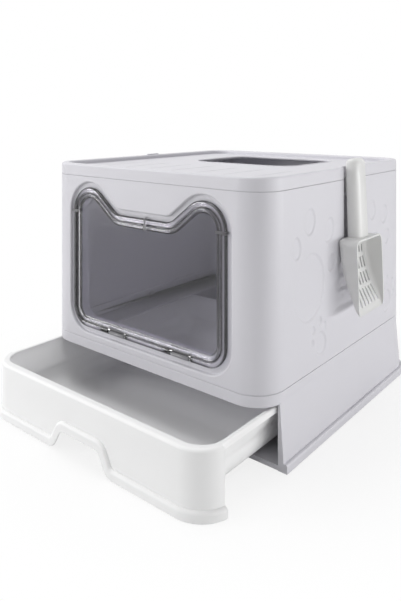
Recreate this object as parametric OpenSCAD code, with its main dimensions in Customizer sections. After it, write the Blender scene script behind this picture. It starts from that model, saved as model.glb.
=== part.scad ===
// Enclosed litter box with a pull-out litter drawer, a cat-ear front door and a top exit.
// +X is the object's right side, -Y its front and +Z up. The origin is on the ground, under the
// middle of the cabin. Millimetres.

/* [Cabin] */
// Width of the cabin, over its side walls
body_w = 424; // [380:1:480]
// Depth of the cabin, front to back
body_d = 452; // [410:1:520]
// Radius of the cabin's four upright corners
corner_r = 44; // [40:1:60]
// Height of the hood, between the base and the lid
hood_h = 253.8; // [240:0.1:300]
// Thickness of the moulded hood walls
hood_t = 3; // [2.5:0.1:3.5]
// Gap that shows as a seam between stacked casings
seam = 0.3; // [0.2:0.05:0.5]

/* [Base] */
// Height of the base, up to the hood
base_h = 100; // [94:0.5:120]
// Height of the band over the drawer's mouth
band_h = 15.2; // [12:0.1:18]
// Thickness of the base's walls
base_t = 3; // [2.5:0.1:3.5]
// Distance of the base's side walls behind the cabin's front
bay_back = 34; // [28:1:40]
// How far the side walls lean out at their foot
flare = 5.5; // [4:0.5:8]
// Height of the skirt bead round the foot
skirt_h = 12.5; // [10:0.5:16]
// How far the skirt bead stands out from the wall
skirt_out = 5; // [4.5:0.5:9]
// Height of the floor plate above the ground
floor_z = 4.5; // [4:0.1:7]
// Thickness of the floor plate
floor_t = 3; // [2.5:0.1:4]
// Width of the sloping apron that sheds litter into the drawer
apron_w = 35; // [28:1:38]
// Drop of the apron from its outer to its inner edge
apron_drop = 7.7; // [4:0.1:7.9]
// Diameter of a rubber foot
foot_d = 26; // [20:1:34]

/* [Drawer] */
// How far the drawer is pulled out
drawer_out = 111.5; // [0:0.5:200]
// Gap between the drawer's rim and the band over it
rim_gap = 3.8; // [3.6:0.1:9]
// Clearance under the drawer's front
drawer_lift = 1; // [0.8:0.1:3]
// Wall thickness of the tub and the drawer's front
tub_t = 2.6; // [2:0.1:3.2]
// Width of the rim at the front
rim_w = 12; // [10:0.5:16]
// Width of the rim along the sides and the back
side_rim_w = 6; // [5:0.5:9]
// Radius between the tub's floor and its walls
tub_r = 30; // [20:1:34]
// How much further in the tub's floor is than its rim, on each side
tub_draft = 13; // [6:1:18]
// Height of the lip along the front's lower edge
lip_h = 13; // [10:0.5:16]
// How far the lip stands out
lip_out = 4; // [3:0.5:6]
// Half the width of the finger notch at its foot
notch_foot = 53; // [46:1:66]
// Half the width of the finger notch at its top
notch_top = 37; // [30:1:42]
// Height of the finger notch
notch_h = 28; // [22:0.5:34]
// Radius of the finger notch's upper corners
notch_r = 9; // [5:0.5:12]
// Radius at the finger notch's foot
notch_foot_r = 20; // [17:0.5:26]

/* [Door] */
// Width of the clear door
door_w = 305; // [280:1:315]
// Height of the door's lower edge above the foot of the hood
door_up = 17.7; // [13:0.1:20]
// Height of the door, up to the ears
door_h = 219.5; // [200:0.5:222]
// Height of the dip between the ears, below the ears' tops
ear_drop = 36; // [28:0.5:42]
// Radius of an ear
ear_r = 38.5; // [34:0.5:44]
// Radius at the foot of an ear's slope
dip_r = 26; // [22:0.5:30]
// Slope of an ear's inner side, in degrees
ear_slope = 38; // [34:1:44]
// Radius of the door's lower corners
door_r = 32; // [26:1:40]
// Depth of the recess that the door lies in
recess_depth = 5; // [4:0.1:6]
// Margin of the recess round the door
recess_edge = 8; // [6:0.5:9]
// Width of the sealing land between the door's outline and the doorway
land_w = 10; // [8:0.5:12]
// Depth of the collar behind the doorway
collar_d = 20; // [12:0.5:28]
// Width of the door's double bead
bead_w = 18.5; // [16:0.5:22]
// Height of the outer bead
bead_h = 6.2; // [5:0.1:7]
// Thickness of the clear panel
pane_t = 2.5; // [2:0.1:3]
// Width of a door hinge, over its lugs
hinge_w = 38; // [32:1:50]
// Distance of each hinge from the middle between them
hinge_x = 63; // [50:1:75]
// Distance of that middle to the right of the door's
hinge_shift = 11; // [0:0.5:16]
// Diameter of a hinge pin
pin_d = 3; // [2.5:0.1:3.2]
// Radial play of the door's barrels on the pins
pin_play = 0.05; // [0.02:0.01:0.1]

/* [Lid] */
// Height of the lid's rim
lid_h = 18.6; // [15:0.1:24]
// Width of the lid's raised rim
lid_rim_w = 13; // [11:0.5:16]
// Depth of the panel below the rim
panel_drop = 7; // [5:0.5:9]
// Thickness of the lid
lid_t = 3; // [2.5:0.1:3.5]
// Width of the top exit
exit_w = 212; // [180:1:230]
// Length of the top exit, front to back
exit_d = 178; // [150:1:190]
// Corner radius of the top exit
exit_r = 40; // [30:1:60]
// Distance of the exit's front edge behind the middle of the lid
exit_y = 2; // [-8:1:10]
// Thickness of the soft edging's lips, above and below the panel
trim_lip = 0.9; // [0.8:0.1:2]
// Number of litter slots in front of the exit
slots = 7; // [5:1:9]
// Distance between neighbouring litter slots
slot_pitch = 50; // [38:1:52]
// Width of a litter slot
slot_w = 6; // [4:0.5:9]
// Length of a litter slot
slot_l = 110; // [60:1:120]

/* [Scoop] */
// Width of the scoop's bowl
bowl_w = 89; // [76:1:98]
// Length of the scoop's bowl
bowl_l = 109; // [96:1:116]
// Depth of the bowl at its heel
bowl_d = 30; // [25:1:34]
// How much further out the bowl's mouth is at its tip
mouth_lean = 3.3; // [2:0.1:5]
// Wall thickness of the scoop
scoop_t = 2.4; // [2:0.1:3]
// Length of the handle, from the bowl's heel up to the hood's top
grip_l = 85.6; // [78:0.1:92]
// Width of the scoop's handle
grip_w = 35; // [28:1:38]
// Thickness of the handle
grip_t = 13.8; // [12:0.1:15]
// How much further out the handle is at its foot
grip_lean = 3.6; // [2:0.1:5]
// Height of the handle's top above the lid
grip_rise = 12.5; // [9:0.5:18]
// Distance of the scoop and its channel behind the middle of the cabin
scoop_y = 10; // [0:1:16]
// Number of sifting slots in a row of the bowl
sift_slots = 10; // [6:1:11]
// Width of a sifting slot
sift_w = 4.2; // [3:0.1:5]
// Width of the channel that the handle lies in
channel_w = 46; // [42:1:50]
// Depth of the channel in the wall
channel_d = 6; // [4:0.5:8]

/* [Hidden] */
$fn = 72;

// Colours
c_shell = [0.84, 0.84, 0.88];
c_drawer = [0.96, 0.96, 0.96];
c_scoop = [0.93, 0.93, 0.91];
c_clear = [0.8, 0.85, 0.88, 0.35];
c_rubber = [0.3, 0.3, 0.32];
c_trim = [0.8, 0.8, 0.84];

// Levels and planes shared by the casings
front = -body_d / 2;
side = body_w / 2;
eps = 0.5;
fit = 0.4;
bay_z = base_h - band_h;
rim_z = bay_z - rim_gap;
hood_z = base_h + seam;
door_z = hood_z + door_up;
hood_top = hood_z + hood_h;
lid_z = hood_top + seam;
lid_top = lid_z + lid_h;
panel_z = lid_top - panel_drop;
channel_floor = side - channel_d;
channel_z = hood_top - grip_l - 3;

// Tongue of the hood inside the base's band
tongue_t = 2.6;
tongue_deep = 7.5;
tongue_grip = 10;
ledge_z = hood_z - tongue_deep - seam - fit;
apron_in = base_t + tongue_t + 3;
apron_t = 2.2;
clip_w = 14;
clip_t = 2.4;
clip_h = 11;
clip_nose = 1.3;
clip_nose_z = 6;
clip_gap = 1;
clip_window = 38;
clip_rise = 3.4;

// Planes of the door: the recess floor, and the back of the door just in front of it
recess_y = front + recess_depth;
door_y = recess_y - 0.3;
pin_r = pin_d / 2;
barrel_r = bead_h / 2;
pin_y = door_y - barrel_r;
pin_z = door_z + barrel_r;

// Seats of the drawer
rail_h = 2;
rail_w = 8;
rail_x = 150;
tub_z = floor_z + floor_t + rail_h + seam;
tray_side = side - base_t - 3;
tray_back = body_d / 2 - base_t - 3;
cap_d = bay_back - 1;

// ---------------------------------------------------------------- shared shapes

// Points of an arc about c, from angle a0 to a1
function arc(c, r, a0, a1, n) =
    [for (i = [0:n]) c + r * [cos(a0 + (a1 - a0) * i / n), sin(a0 + (a1 - a0) * i / n)]];

// The same points mirrored in the upright middle line, in reverse order
function mirrored(p) = [for (i = [len(p) - 1:-1:0]) [-p[i][0], p[i][1]]];

// Rounded rectangle with true arcs, centred
module plan(w, d, r) {
    square([w - 2 * r, d], center = true);
    square([w, d - 2 * r], center = true);
    for (x = [-1, 1], y = [-1, 1]) translate([x * (w / 2 - r), y * (d / 2 - r)]) circle(r);
}

// Slot with round ends, along Y, centred
module slot_2d(w, l) {
    square([w, l - w], center = true);
    for (y = [-1, 1]) translate([0, y * (l - w) / 2]) circle(w / 2);
}

// Quarter turn of a wall's section, at one corner of a rounded rectangle.
// The section's x is the distance outside the rectangle and its y is the height.
module corner_run(w, d, r, k) {
    c = [[1, 1], [-1, 1], [-1, -1], [1, -1]][k];
    translate([c[0] * (w / 2 - r), c[1] * (d / 2 - r), 0])
        rotate([0, 0, 90 * k]) rotate_extrude(angle = 90) translate([r, 0]) children();
}

// Straight run of the section along side k: 0 right, 1 back, 2 left, 3 front
module side_run(w, d, r, k) {
    across = k % 2 == 0 ? w : d;
    along = (k % 2 == 0 ? d : w) - 2 * r;
    rotate([0, 0, 90 * k]) translate([across / 2, along / 2, 0])
        rotate([90, 0, 0]) linear_extrude(along) children();
}

// The section swept all the way round
module ring(w, d, r)
    for (k = [0:3]) {
        corner_run(w, d, r, k) children();
        side_run(w, d, r, k) children();
    }

// A shape drawn in X and Z, extruded from the plane y0 back to the plane y1
module upright(y0, y1) translate([0, y1, 0]) rotate([90, 0, 0]) linear_extrude(y1 - y0) children();

// ---------------------------------------------------------------- base

// Leaning outer wall with its upright inner face and the skirt bead, as a closed section
module wall_section() {
    polygon([[-base_t, 1], [-base_t, bay_z + 1], [0, bay_z + 1], [0, bay_z], [flare, skirt_h], [flare, 1]]);
    bead = skirt_h - 1;
    translate([0, 1]) square([flare + skirt_out - 3, bead]);
    translate([0, 1]) square([flare + skirt_out, bead - 3]);
    translate([flare + skirt_out - 3, skirt_h - 3]) circle(3);
}

// Hollow between the two skins of the wall, open to the ground
module wall_hollow() {
    skin = base_t - 0.5;
    polygon([[-base_t + skin, skirt_h + 42], [-base_t + skin, 0], [flare + skirt_out - skin, 0],
        [flare + skirt_out - skin, skirt_h - skin - 1], [flare - skin, skirt_h - skin - 1],
        [flare - skin, skirt_h + 4]]);
}

module hollow_wall_section() difference() {
    wall_section();
    wall_hollow();
}

// Band over the drawer's mouth, with the ledge for the hood and the apron inside it
module band_section() {
    lip = 0.8;
    polygon([[0, bay_z], [0, base_h - lip], [-lip, base_h], [-(base_t - fit), base_h],
        [-(base_t - fit), ledge_z], [-apron_in, ledge_z], [-apron_w, ledge_z - apron_drop],
        [-apron_w, ledge_z - apron_drop - apron_t], [-apron_in, ledge_z - apron_t],
        [-base_t, ledge_z - apron_t], [-base_t, bay_z]]);
}

rib = 2.4;
rib_z = 1.5;
hem_t = 2.5;
rib_top = floor_z - rib_z + eps;
foot_places = [[0, 0], [-1, -1], [1, -1], [-1, 1], [1, 1]];
function foot_xy(p) = [p[0] * (side - 60), p[1] < 0 ? front + bay_back + 30 : p[1] * (body_d / 2 - 55)];

module base_housing() color(c_shell) {
    wall_l = body_d - bay_back - corner_r;
    ring(body_w, body_d, corner_r) band_section();
    // Side walls, back wall and the two back corners
    for (m = [0, 1]) mirror([m, 0, 0]) {
        translate([side, front + bay_back + wall_l, 0]) rotate([90, 0, 0])
            linear_extrude(wall_l) hollow_wall_section();
        translate([side, front + bay_back + 3, 0]) rotate([90, 0, 0]) linear_extrude(3) wall_section();
        corner_run(body_w, body_d, corner_r, 0) hollow_wall_section();
    }
    side_run(body_w, body_d, corner_r, 1) hollow_wall_section();
    // Floor plate, with a straight front edge
    translate([0, 0, floor_z]) intersection() {
        linear_extrude(floor_t) plan(body_w - 2, body_d - 2, corner_r - 1);
        translate([-side, front + bay_back, -eps]) cube([body_w, body_d, floor_t + 1]);
    }
    // Hem under the plate's front edge
    translate([-side + 1, front + bay_back, rib_z]) cube([body_w - 2, hem_t, floor_z + floor_t - rib_z]);
    // Stiffening ribs under the plate, and the sockets of the feet
    difference() {
        union() {
            for (x = [-2:2]) translate([x * side / 2.6 - rib / 2, front + bay_back + 6, rib_z])
                cube([rib, body_d - bay_back - 10, rib_top]);
            for (y = [-1, 1]) translate([-side + 1, y * body_d / 4.4 - rib / 2, rib_z])
                cube([body_w - 2, rib, rib_top]);
            for (p = foot_places) translate([foot_xy(p)[0], foot_xy(p)[1], rib_z])
                cylinder(d = foot_d + 5, h = rib_top);
        }
        for (p = foot_places) translate([foot_xy(p)[0], foot_xy(p)[1], rib_z - eps])
            cylinder(d = foot_d + fit, h = floor_z - rib_z + eps);
    }
    // Rails that the drawer runs on
    rail_l = body_d - bay_back - 30;
    for (x = [-1, 1]) translate([x * rail_x, front + bay_back + 8 + rail_l / 2, floor_z + floor_t - eps])
        linear_extrude(rail_h + eps) slot_2d(rail_w, rail_l);
}

module rubber_feet() color(c_rubber)
    for (p = foot_places) translate([foot_xy(p)[0], foot_xy(p)[1], 0]) {
        cylinder(d1 = foot_d - 3, d2 = foot_d, h = 1.5);
        translate([0, 0, 1.5]) cylinder(d = foot_d, h = floor_z - 1.5);
    }

// ---------------------------------------------------------------- drawer

// Outline of the finger notch grown by g, with its foot drawn down to the level low
notch_angle = atan2(notch_h, notch_foot - notch_top);
notch_turn = tan(notch_angle / 2);
notch_c = [notch_top - notch_r * notch_turn, drawer_lift + notch_h - notch_r];
notch_foot_c = [notch_foot + notch_foot_r * notch_turn, drawer_lift + notch_foot_r];
function notch_half(g) = concat(arc(notch_foot_c, notch_foot_r - g, 270, 270 - notch_angle, 8),
    arc(notch_c, notch_r + g, 90 - notch_angle, 90, 8));
function notch_points(g, low) = concat([[notch_foot_c[0], low]], notch_half(g), mirrored(notch_half(g)),
    [[-notch_foot_c[0], low]]);

// Section of the drawer's front skin, with its rounded top edge
module skin_section() {
    r = 4;
    translate([-tub_t, drawer_lift]) square([tub_t, rim_z - drawer_lift - r]);
    translate([-rim_w, rim_z - tub_t]) square([rim_w - r, tub_t]);
    intersection() {
        translate([-r, rim_z - r]) difference() {
            circle(r);
            circle(r - tub_t);
        }
        translate([-r, rim_z - r]) square([r + 1, r + 1]);
    }
}

// Section of the lip along the front's lower edge
lip_round = lip_out - 0.5;
module lip_section() {
    r = lip_round;
    translate([-1, drawer_lift]) square([lip_out + 1, lip_h - r]);
    translate([-1, drawer_lift]) square([lip_out + 1 - r, lip_h]);
    translate([lip_out - r, drawer_lift + lip_h - r]) circle(r);
}

// Section of the rim along the sides and the back
module rim_section() {
    translate([-side_rim_w, rim_z - tub_t]) square([side_rim_w - 1, tub_t]);
    translate([-tub_t, rim_z - 8]) square([tub_t, 7]);
    translate([-tub_t, rim_z - tub_t]) circle(tub_t, $fn = 48);
}

// Tapered tub with a large radius at its floor, s further in all round
module tub_body(s) {
    w = 2 * (tray_side - side_rim_w + tub_t - s);
    y0 = front + rim_w - tub_t + s;
    y1 = tray_back - side_rim_w + tub_t - s;
    r = corner_r - rim_w;
    fillet = tub_r - s;
    hull() {
        for (x = [-1, 1], y = [y0 + r, y1 - r]) translate([x * (w / 2 - r), y, rim_z - 1])
            cylinder(r = r, h = s > 0 ? 10 : 0.5, $fn = 64);
        for (x = [-1, 1], y = [y0 + tub_draft + fillet, y1 - tub_draft - fillet])
            translate([x * (w / 2 - tub_draft - fillet), y, tub_z + s + fillet]) sphere(fillet, $fn = 48);
    }
}

module drawer_tray() color(c_drawer) translate([0, -drawer_out, 0]) {
    tray_w = 2 * tray_side;
    rim_d = tray_back - front - cap_d;
    // Tub with its rim
    difference() {
        union() {
            tub_body(0);
            for (m = [0, 1]) mirror([m, 0, 0]) {
                translate([tray_side, tray_back - corner_r + 4, 0]) rotate([90, 0, 0])
                    linear_extrude(rim_d - corner_r + 4) rim_section();
                translate([0, tray_back - body_d / 2, 0])
                    corner_run(tray_w, body_d, corner_r - 4, 0) rim_section();
            }
            translate([0, tray_back - body_d / 2, 0]) side_run(tray_w, body_d, corner_r - 4, 1) rim_section();
        }
        tub_body(tub_t);
    }
    // Front skin, wrapped round both front corners, with its lip
    difference() {
        union() {
            side_run(body_w, body_d, corner_r, 3) skin_section();
            for (k = [2, 3]) corner_run(body_w, body_d, corner_r, k) skin_section();
            for (m = [0, 1]) mirror([m, 0, 0]) {
                wing = corner_r > cap_d ? 0 : cap_d - corner_r;
                if (wing > 0) translate([side, front + cap_d, 0]) rotate([90, 0, 0])
                    linear_extrude(wing) skin_section();
            }
            for (k = [2, 3]) corner_run(body_w, body_d, corner_r, k) lip_section();
            side_run(body_w, body_d, corner_r, 3) lip_section();
            // The lip over the finger notch, in layers that follow its round edge just inside it
            for (k = [0:2]) upright(front - lip_out + 0.12 + lip_round * (1 - cos(30 * k)), front - 0.5)
                polygon(notch_points(lip_h - 0.12 - lip_round * (1 - sin(30 * k)), drawer_lift));
        }
        upright(front - 20, front + 8) polygon(notch_points(0, drawer_lift - 20));
        translate([-side - 20, front + cap_d, -1]) cube([body_w + 40, body_d, rim_z + 2]);
    }
    // Webs that tie the skin's ends to the tub
    for (m = [0, 1]) mirror([m, 0, 0]) translate([side - 16, front + cap_d - tub_t, rim_z - 30])
        cube([11, tub_t, 29]);
}

// ---------------------------------------------------------------- hood

// Outline of the door grown by g: lower corner, ear and dip, drawn on one half and mirrored
ear_c = [door_w / 2 - ear_r, door_z + door_h - ear_r];
ear_end = ear_c + ear_r * [-sin(ear_slope), cos(ear_slope)];
dip_z = door_z + door_h - ear_drop + dip_r;
dip_run = (ear_end[1] - dip_z + dip_r * cos(ear_slope)) / sin(ear_slope);
dip_c = [ear_end[0] - dip_run * cos(ear_slope) - dip_r * sin(ear_slope), dip_z];
foot_c = [door_w / 2 - door_r, door_z + door_r];
function door_half(g) = concat(arc(foot_c, door_r + g, -90, 0, 9),
    arc(ear_c, ear_r + g, 0, 90 + ear_slope, 14),
    arc(dip_c, dip_r - g, ear_slope - 90, -90, 6));
function door_points(g) = concat(door_half(g), mirrored(door_half(g)));

// Oval, centred
module oval(a, b) polygon([for (i = [0:23]) [a * cos(i * 15), b * sin(i * 15)]]);

// Paw print, drawn in Y and Z: half axes of its pad and toes, and the places of the toes
pad = [40, 46];
outer_toe = [11, 15];
outer_toe_at = [53, 44];
inner_toe = [14, 18];
inner_toe_at = [29, 85];
module paw(s) scale(s) {
    oval(pad[0], pad[1]);
    for (e = [-1, 1]) {
        translate([e * outer_toe_at[0], outer_toe_at[1]]) rotate(-e * 26) oval(outer_toe[0], outer_toe[1]);
        translate([e * inner_toe_at[0], inner_toe_at[1]]) rotate(-e * 10) oval(inner_toe[0], inner_toe[1]);
    }
}

// Where the paw prints lie on a side wall: shares of its depth and height, size and turn
paws = [[-0.254, 0.452, 1, -19], [0.212, 0.468, 0.86, -14], [-0.186, 0.121, 0.36, 24],
    [0.327, 0.137, 0.4, -20]];
paw_depth = 0.8;

module hood_wall_section() translate([-hood_t, hood_z]) square([hood_t, hood_h]);

module tongue_section() {
    translate([-hood_t - tongue_t, hood_z - tongue_deep]) square([tongue_t, tongue_deep + tongue_grip]);
    translate([-hood_t - 1, hood_z]) square([2, tongue_grip]);
}

// Side of a hinge that stands on the recess floor and holds one end of a pin
module hinge_lug(w) {
    lug_r = barrel_r + 0.3;
    rotate([0, 90, 0]) cylinder(r = lug_r, h = w, center = true);
    translate([-w / 2, 0, -lug_r]) cube([w, recess_y - pin_y + 1, 2 * lug_r]);
}

lug_w = 3.5;
hinges = [hinge_shift - hinge_x, hinge_shift + hinge_x];

// Lug in the channel that the scoop's hook hangs on: a plate that stands on a shelf
hang_w = 20;
hang_t = 2.3;
hang_top = hood_top - 5;
hang_z = hood_top - 26;
shelf_h = 6;
module scoop_lug() translate([0, scoop_y - hang_w / 2, hang_z]) {
    translate([channel_floor - 1, 0, 0]) cube([channel_d + 1, hang_w, shelf_h]);
    translate([side - hang_t, 0, 0]) cube([hang_t, hang_w, hang_top - hang_z]);
}

module hood_shell() color(c_shell) {
    scoop_lug();
    difference() {
        union() {
            ring(body_w, body_d, corner_r) hood_wall_section();
            ring(body_w, body_d, corner_r) tongue_section();
            // Back of the door recess and the collar round the doorway
            upright(front + hood_t - 1, recess_y + hood_t) polygon(door_points(recess_edge + hood_t));
            upright(recess_y, recess_y + collar_d) polygon(door_points(hood_t - land_w));
            for (x = hinges, e = [-1, 1])
                translate([x + e * (hinge_w - lug_w) / 2, pin_y, pin_z]) hinge_lug(lug_w);
            // Back of the channel that the scoop's handle lies over
            translate([channel_floor - hood_t, scoop_y - channel_w / 2 - hood_t, channel_z - hood_t])
                cube([channel_d + hood_t - 1, channel_w + 2 * hood_t, hood_top - channel_z + hood_t]);
        }
        upright(front - 20, recess_y) polygon(door_points(recess_edge));
        upright(front - 20, front + 60) polygon(door_points(-land_w));
        for (x = hinges) translate([x, pin_y, pin_z]) rotate([0, 90, 0])
            cylinder(r = pin_r + 0.02, h = hinge_w + 2, center = true, $fn = 48);
        translate([channel_floor, scoop_y - channel_w / 2, channel_z])
            cube([20, channel_w, hood_top - channel_z + 10]);
        // Windows beside each clip in the tongue
        for (m = [-1, 1], e = [-1, 1]) translate([m * (side - hood_t - tongue_t / 2) - tongue_t,
            scoop_y + e * (clip_w / 2 + clip_gap + clip_window / 2) - clip_window / 2,
            hood_z - tongue_deep - 1]) cube([2 * tongue_t, clip_window, clip_rise + 1]);
        // Paw prints pressed into the side walls
        for (m = [-1, 1], p = paws)
            translate([m * (side - paw_depth + 5), p[0] * body_d, hood_z + p[1] * hood_h])
                rotate([90, 0, 90]) linear_extrude(10, center = true) rotate(p[3]) paw(p[2]);
    }
}

// Snap clips on the tongue, one on each side, reaching down past the ledge's edge
module hood_clips() color(c_shell)
    for (m = [-1, 1]) translate([m * (side - hood_t - tongue_t - clip_t / 2 - 0.2), scoop_y,
        hood_z - tongue_deep]) {
        translate([-clip_t / 2, -clip_w / 2, 0.3]) cube([clip_t, clip_w, clip_h]);
        translate([0, 0, clip_nose_z]) rotate([90, 0, 0])
            cylinder(r = clip_nose, h = clip_w - 3, center = true, $fn = 32);
    }

// ---------------------------------------------------------------- door

// Section of the clear door, from the pane's front to its back: [distance inside the outline,
// height above the back plane]. Two rounded beads, hollow from behind.
bead_2 = bead_h - 1;
bead_section = [[bead_w, pane_t], [bead_w * 0.86, pane_t + 0.3], [bead_w * 0.78, bead_2 - 0.7],
    [bead_w * 0.67, bead_2], [bead_w * 0.56, bead_2 - 0.8], [bead_w * 0.5, pane_t + 0.9],
    [bead_w * 0.43, bead_2 - 0.7], [bead_w * 0.32, bead_h - 0.3], [bead_w * 0.2, bead_h],
    [bead_w * 0.09, bead_h - 0.7], [bead_w * 0.025, bead_h - 2.2], [0, bead_h / 2],
    [bead_w * 0.025, 1.5], [bead_w * 0.07, 0.5], [bead_w * 0.12, 0], [bead_w * 0.18, bead_h - 3],
    [bead_w * 0.28, bead_h - 2.7], [bead_w * 0.4, 1.6], [bead_w * 0.5, 0.5],
    [bead_w * 0.6, bead_2 - 2.9], [bead_w * 0.72, bead_2 - 2.9], [bead_w * 0.84, 0], [bead_w, 0]];

module door_panel() color(c_clear) {
    rows = len(bead_section);
    n = len(door_points(0));
    points = [for (s = bead_section) each [for (p = door_points(-s[0])) [p[0], door_y - s[1], p[1]]]];
    faces = concat([[for (i = [n - 1:-1:0]) i]], [[for (i = [0:n - 1]) (rows - 1) * n + i]],
        [for (k = [0:rows - 2], i = [0:n - 1])
            [k * n + i, k * n + (i + 1) % n, (k + 1) * n + (i + 1) % n, (k + 1) * n + i]]);
    notch = barrel_r + 1.2;
    difference() {
        union() {
            difference() {
                polyhedron(points, faces, convexity = 6);
                for (x = hinges) translate([x - hinge_w / 2 - 0.5, door_y - bead_h - 1, door_z - 1])
                    cube([hinge_w + 1, bead_h + 2, 1 + barrel_r + notch]);
            }
            for (x = hinges) translate([x, pin_y, pin_z]) {
                rotate([0, 90, 0]) cylinder(r = barrel_r - 0.1, h = hinge_w - 2 * lug_w - 0.8, center = true);
                translate([-(hinge_w - 2 * lug_w - 0.8) / 2, -0.8, 0])
                    cube([hinge_w - 2 * lug_w - 0.8, 2.2, notch + 2]);
            }
        }
        for (x = hinges) translate([x, pin_y, pin_z]) rotate([0, 90, 0])
            cylinder(r = pin_r + pin_play, h = hinge_w + 2, center = true, $fn = 48);
    }
}

module hinge_pins() color("silver")
    for (x = hinges) translate([x, pin_y, pin_z]) rotate([0, 90, 0])
        cylinder(r = pin_r, h = hinge_w - 0.4, center = true, $fn = 48);

// Snap catch that lies across the double bead, with its nose outside the door's outline
catch_w = 3.6;
catch_t = 1.1;
module door_catch() {
    translate([-bead_w * 0.85, -bead_h - catch_t, -catch_w / 2]) cube([bead_w * 0.85 + 1.4, catch_t, catch_w]);
    translate([0, -bead_h - catch_t, -catch_w / 2]) cube([1.4, bead_h + catch_t, catch_w]);
    translate([1.4, -1.6, 0]) cylinder(r = 1.1, h = catch_w, center = true, $fn = 32);
}

module door_catches() color(c_clear) {
    for (m = [0, 1]) mirror([m, 0, 0]) translate([door_w / 2, door_y, ear_c[1]]) door_catch();
    translate([8, door_y, dip_z - dip_r]) rotate([0, -90, 0]) door_catch();
}

// ---------------------------------------------------------------- lid

// Raised rim, hollow from below, with its rounded edges and the plug inside the hood
module lid_section() {
    r = 3;
    plug = min(5, lid_z - door_z - door_h - recess_edge - hood_t - 0.5);
    x1 = -lid_rim_w;
    translate([-lid_t, lid_z]) square([lid_t, lid_h - r]);
    translate([x1 + r, lid_top - lid_t]) square([lid_rim_w - 2 * r, lid_t]);
    translate([-r, lid_top - r]) circle(r);
    translate([x1 + r, lid_top - r]) circle(r);
    translate([x1, panel_z - lid_t]) square([lid_t, panel_drop + lid_t - r]);
    translate([-hood_t - fit - tongue_t, lid_z - plug]) square([tongue_t, lid_h + plug - r]);
}

ridge_w = 6;
ridge_l = 30;
ridge_h = 2;
slot_front = 58;

module lid_cover() color(c_shell) difference() {
    union() {
        ring(body_w, body_d, corner_r) lid_section();
        translate([0, 0, panel_z - lid_t]) linear_extrude(lid_t)
            plan(body_w - 2 * lid_rim_w + 2, body_d - 2 * lid_rim_w + 2, corner_r - lid_rim_w + 1);
        // Back of the notch in the rim, and a finger ridge on the left
        translate([channel_floor - 5, scoop_y - channel_w / 2 - 3, lid_z])
            cube([5, channel_w + 6, lid_h - 0.6]);
        translate([-side + lid_rim_w / 2, scoop_y, lid_top - ridge_h])
            linear_extrude(2 * ridge_h) slot_2d(ridge_w, ridge_l);
    }
    translate([0, exit_y + exit_d / 2, panel_z - 10]) linear_extrude(20) plan(exit_w, exit_d, exit_r);
    for (i = [0:slots - 1])
        translate([(i - (slots - 1) / 2) * slot_pitch, front + slot_front + slot_l / 2, panel_z - 10])
            linear_extrude(20) slot_2d(slot_w, slot_l);
    translate([channel_floor, scoop_y - channel_w / 2, lid_z - 20]) cube([20, channel_w, lid_h + 40]);
    // The plug stops short of the hood's channel
    translate([side - 20, scoop_y - channel_w / 2 - hood_t - 1, lid_z - 20])
        cube([20, channel_w + 2 * hood_t + 2, 20]);
}

// Soft edging round the top exit
module exit_trim() color(c_trim) translate([0, exit_y + exit_d / 2, 0])
    ring(exit_w, exit_d, exit_r) difference() {
        translate([0.5, panel_z - lid_t / 2]) circle(lid_t / 2 + trim_lip);
        translate([0, panel_z - lid_t - 0.05]) square([12, lid_t + 0.1]);
    }

// ---------------------------------------------------------------- scoop

heel_z = hood_top - grip_l;
bowl_x = side + 0.5;
mouth_x = bowl_x + bowl_d;
bowl_corner = 14;
heel_drop = 13;

// Side view of the bowl, t inside its outer skin: upright heel, then a long ramp out to the tip
ramp_r = 520;
ramp_start = 13.5;
ramp_end = asin(sin(ramp_start) + (bowl_l - heel_drop) / ramp_r);
ramp_c = [bowl_x + ramp_r * cos(ramp_start), heel_z - heel_drop + ramp_r * sin(ramp_start)];
function ramp(t) = [for (p = arc(ramp_c, ramp_r - t, 180 + ramp_start, 180 + ramp_end, 12)) p];
module bowl_side(t, out) polygon(concat([[bowl_x + t, heel_z - t]], ramp(t),
    [[mouth_x + mouth_lean + out, ramp(t)[12][1]], [mouth_x + out, heel_z - t]]));

// Front view of the bowl, s inside its outer skin
module bowl_front(s, deep) translate([bowl_x - 1, scoop_y, heel_z - bowl_l / 2 - s]) rotate([90, 0, 90])
    linear_extrude(deep) plan(bowl_w - 2 * s, bowl_l + 4, bowl_corner - s);

module scoop_bowl() difference() {
    intersection() {
        upright(scoop_y - bowl_w / 2, scoop_y + bowl_w / 2) bowl_side(0, 0);
        bowl_front(0, bowl_d + mouth_lean + 2);
    }
    intersection() {
        upright(scoop_y - bowl_w / 2 + scoop_t, scoop_y + bowl_w / 2 - scoop_t) bowl_side(scoop_t, 30);
        bowl_front(scoop_t, bowl_d + 40);
    }
    // Sifting slots, in four rows down the floor; each row from one share of the length to another
    rows = [[0.165, 0.275], [0.33, 0.485], [0.525, 0.68], [0.715, 0.925]];
    pitch = (bowl_w - 10) / sift_slots;
    for (i = [0:sift_slots - 1], row = rows)
        translate([bowl_x - 5, scoop_y + (i - (sift_slots - 1) / 2) * pitch,
            heel_z - bowl_l * (row[0] + row[1]) / 2]) rotate([90, 0, 90])
                linear_extrude(bowl_d + 20) slot_2d(sift_w, bowl_l * (row[1] - row[0]));
}

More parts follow.
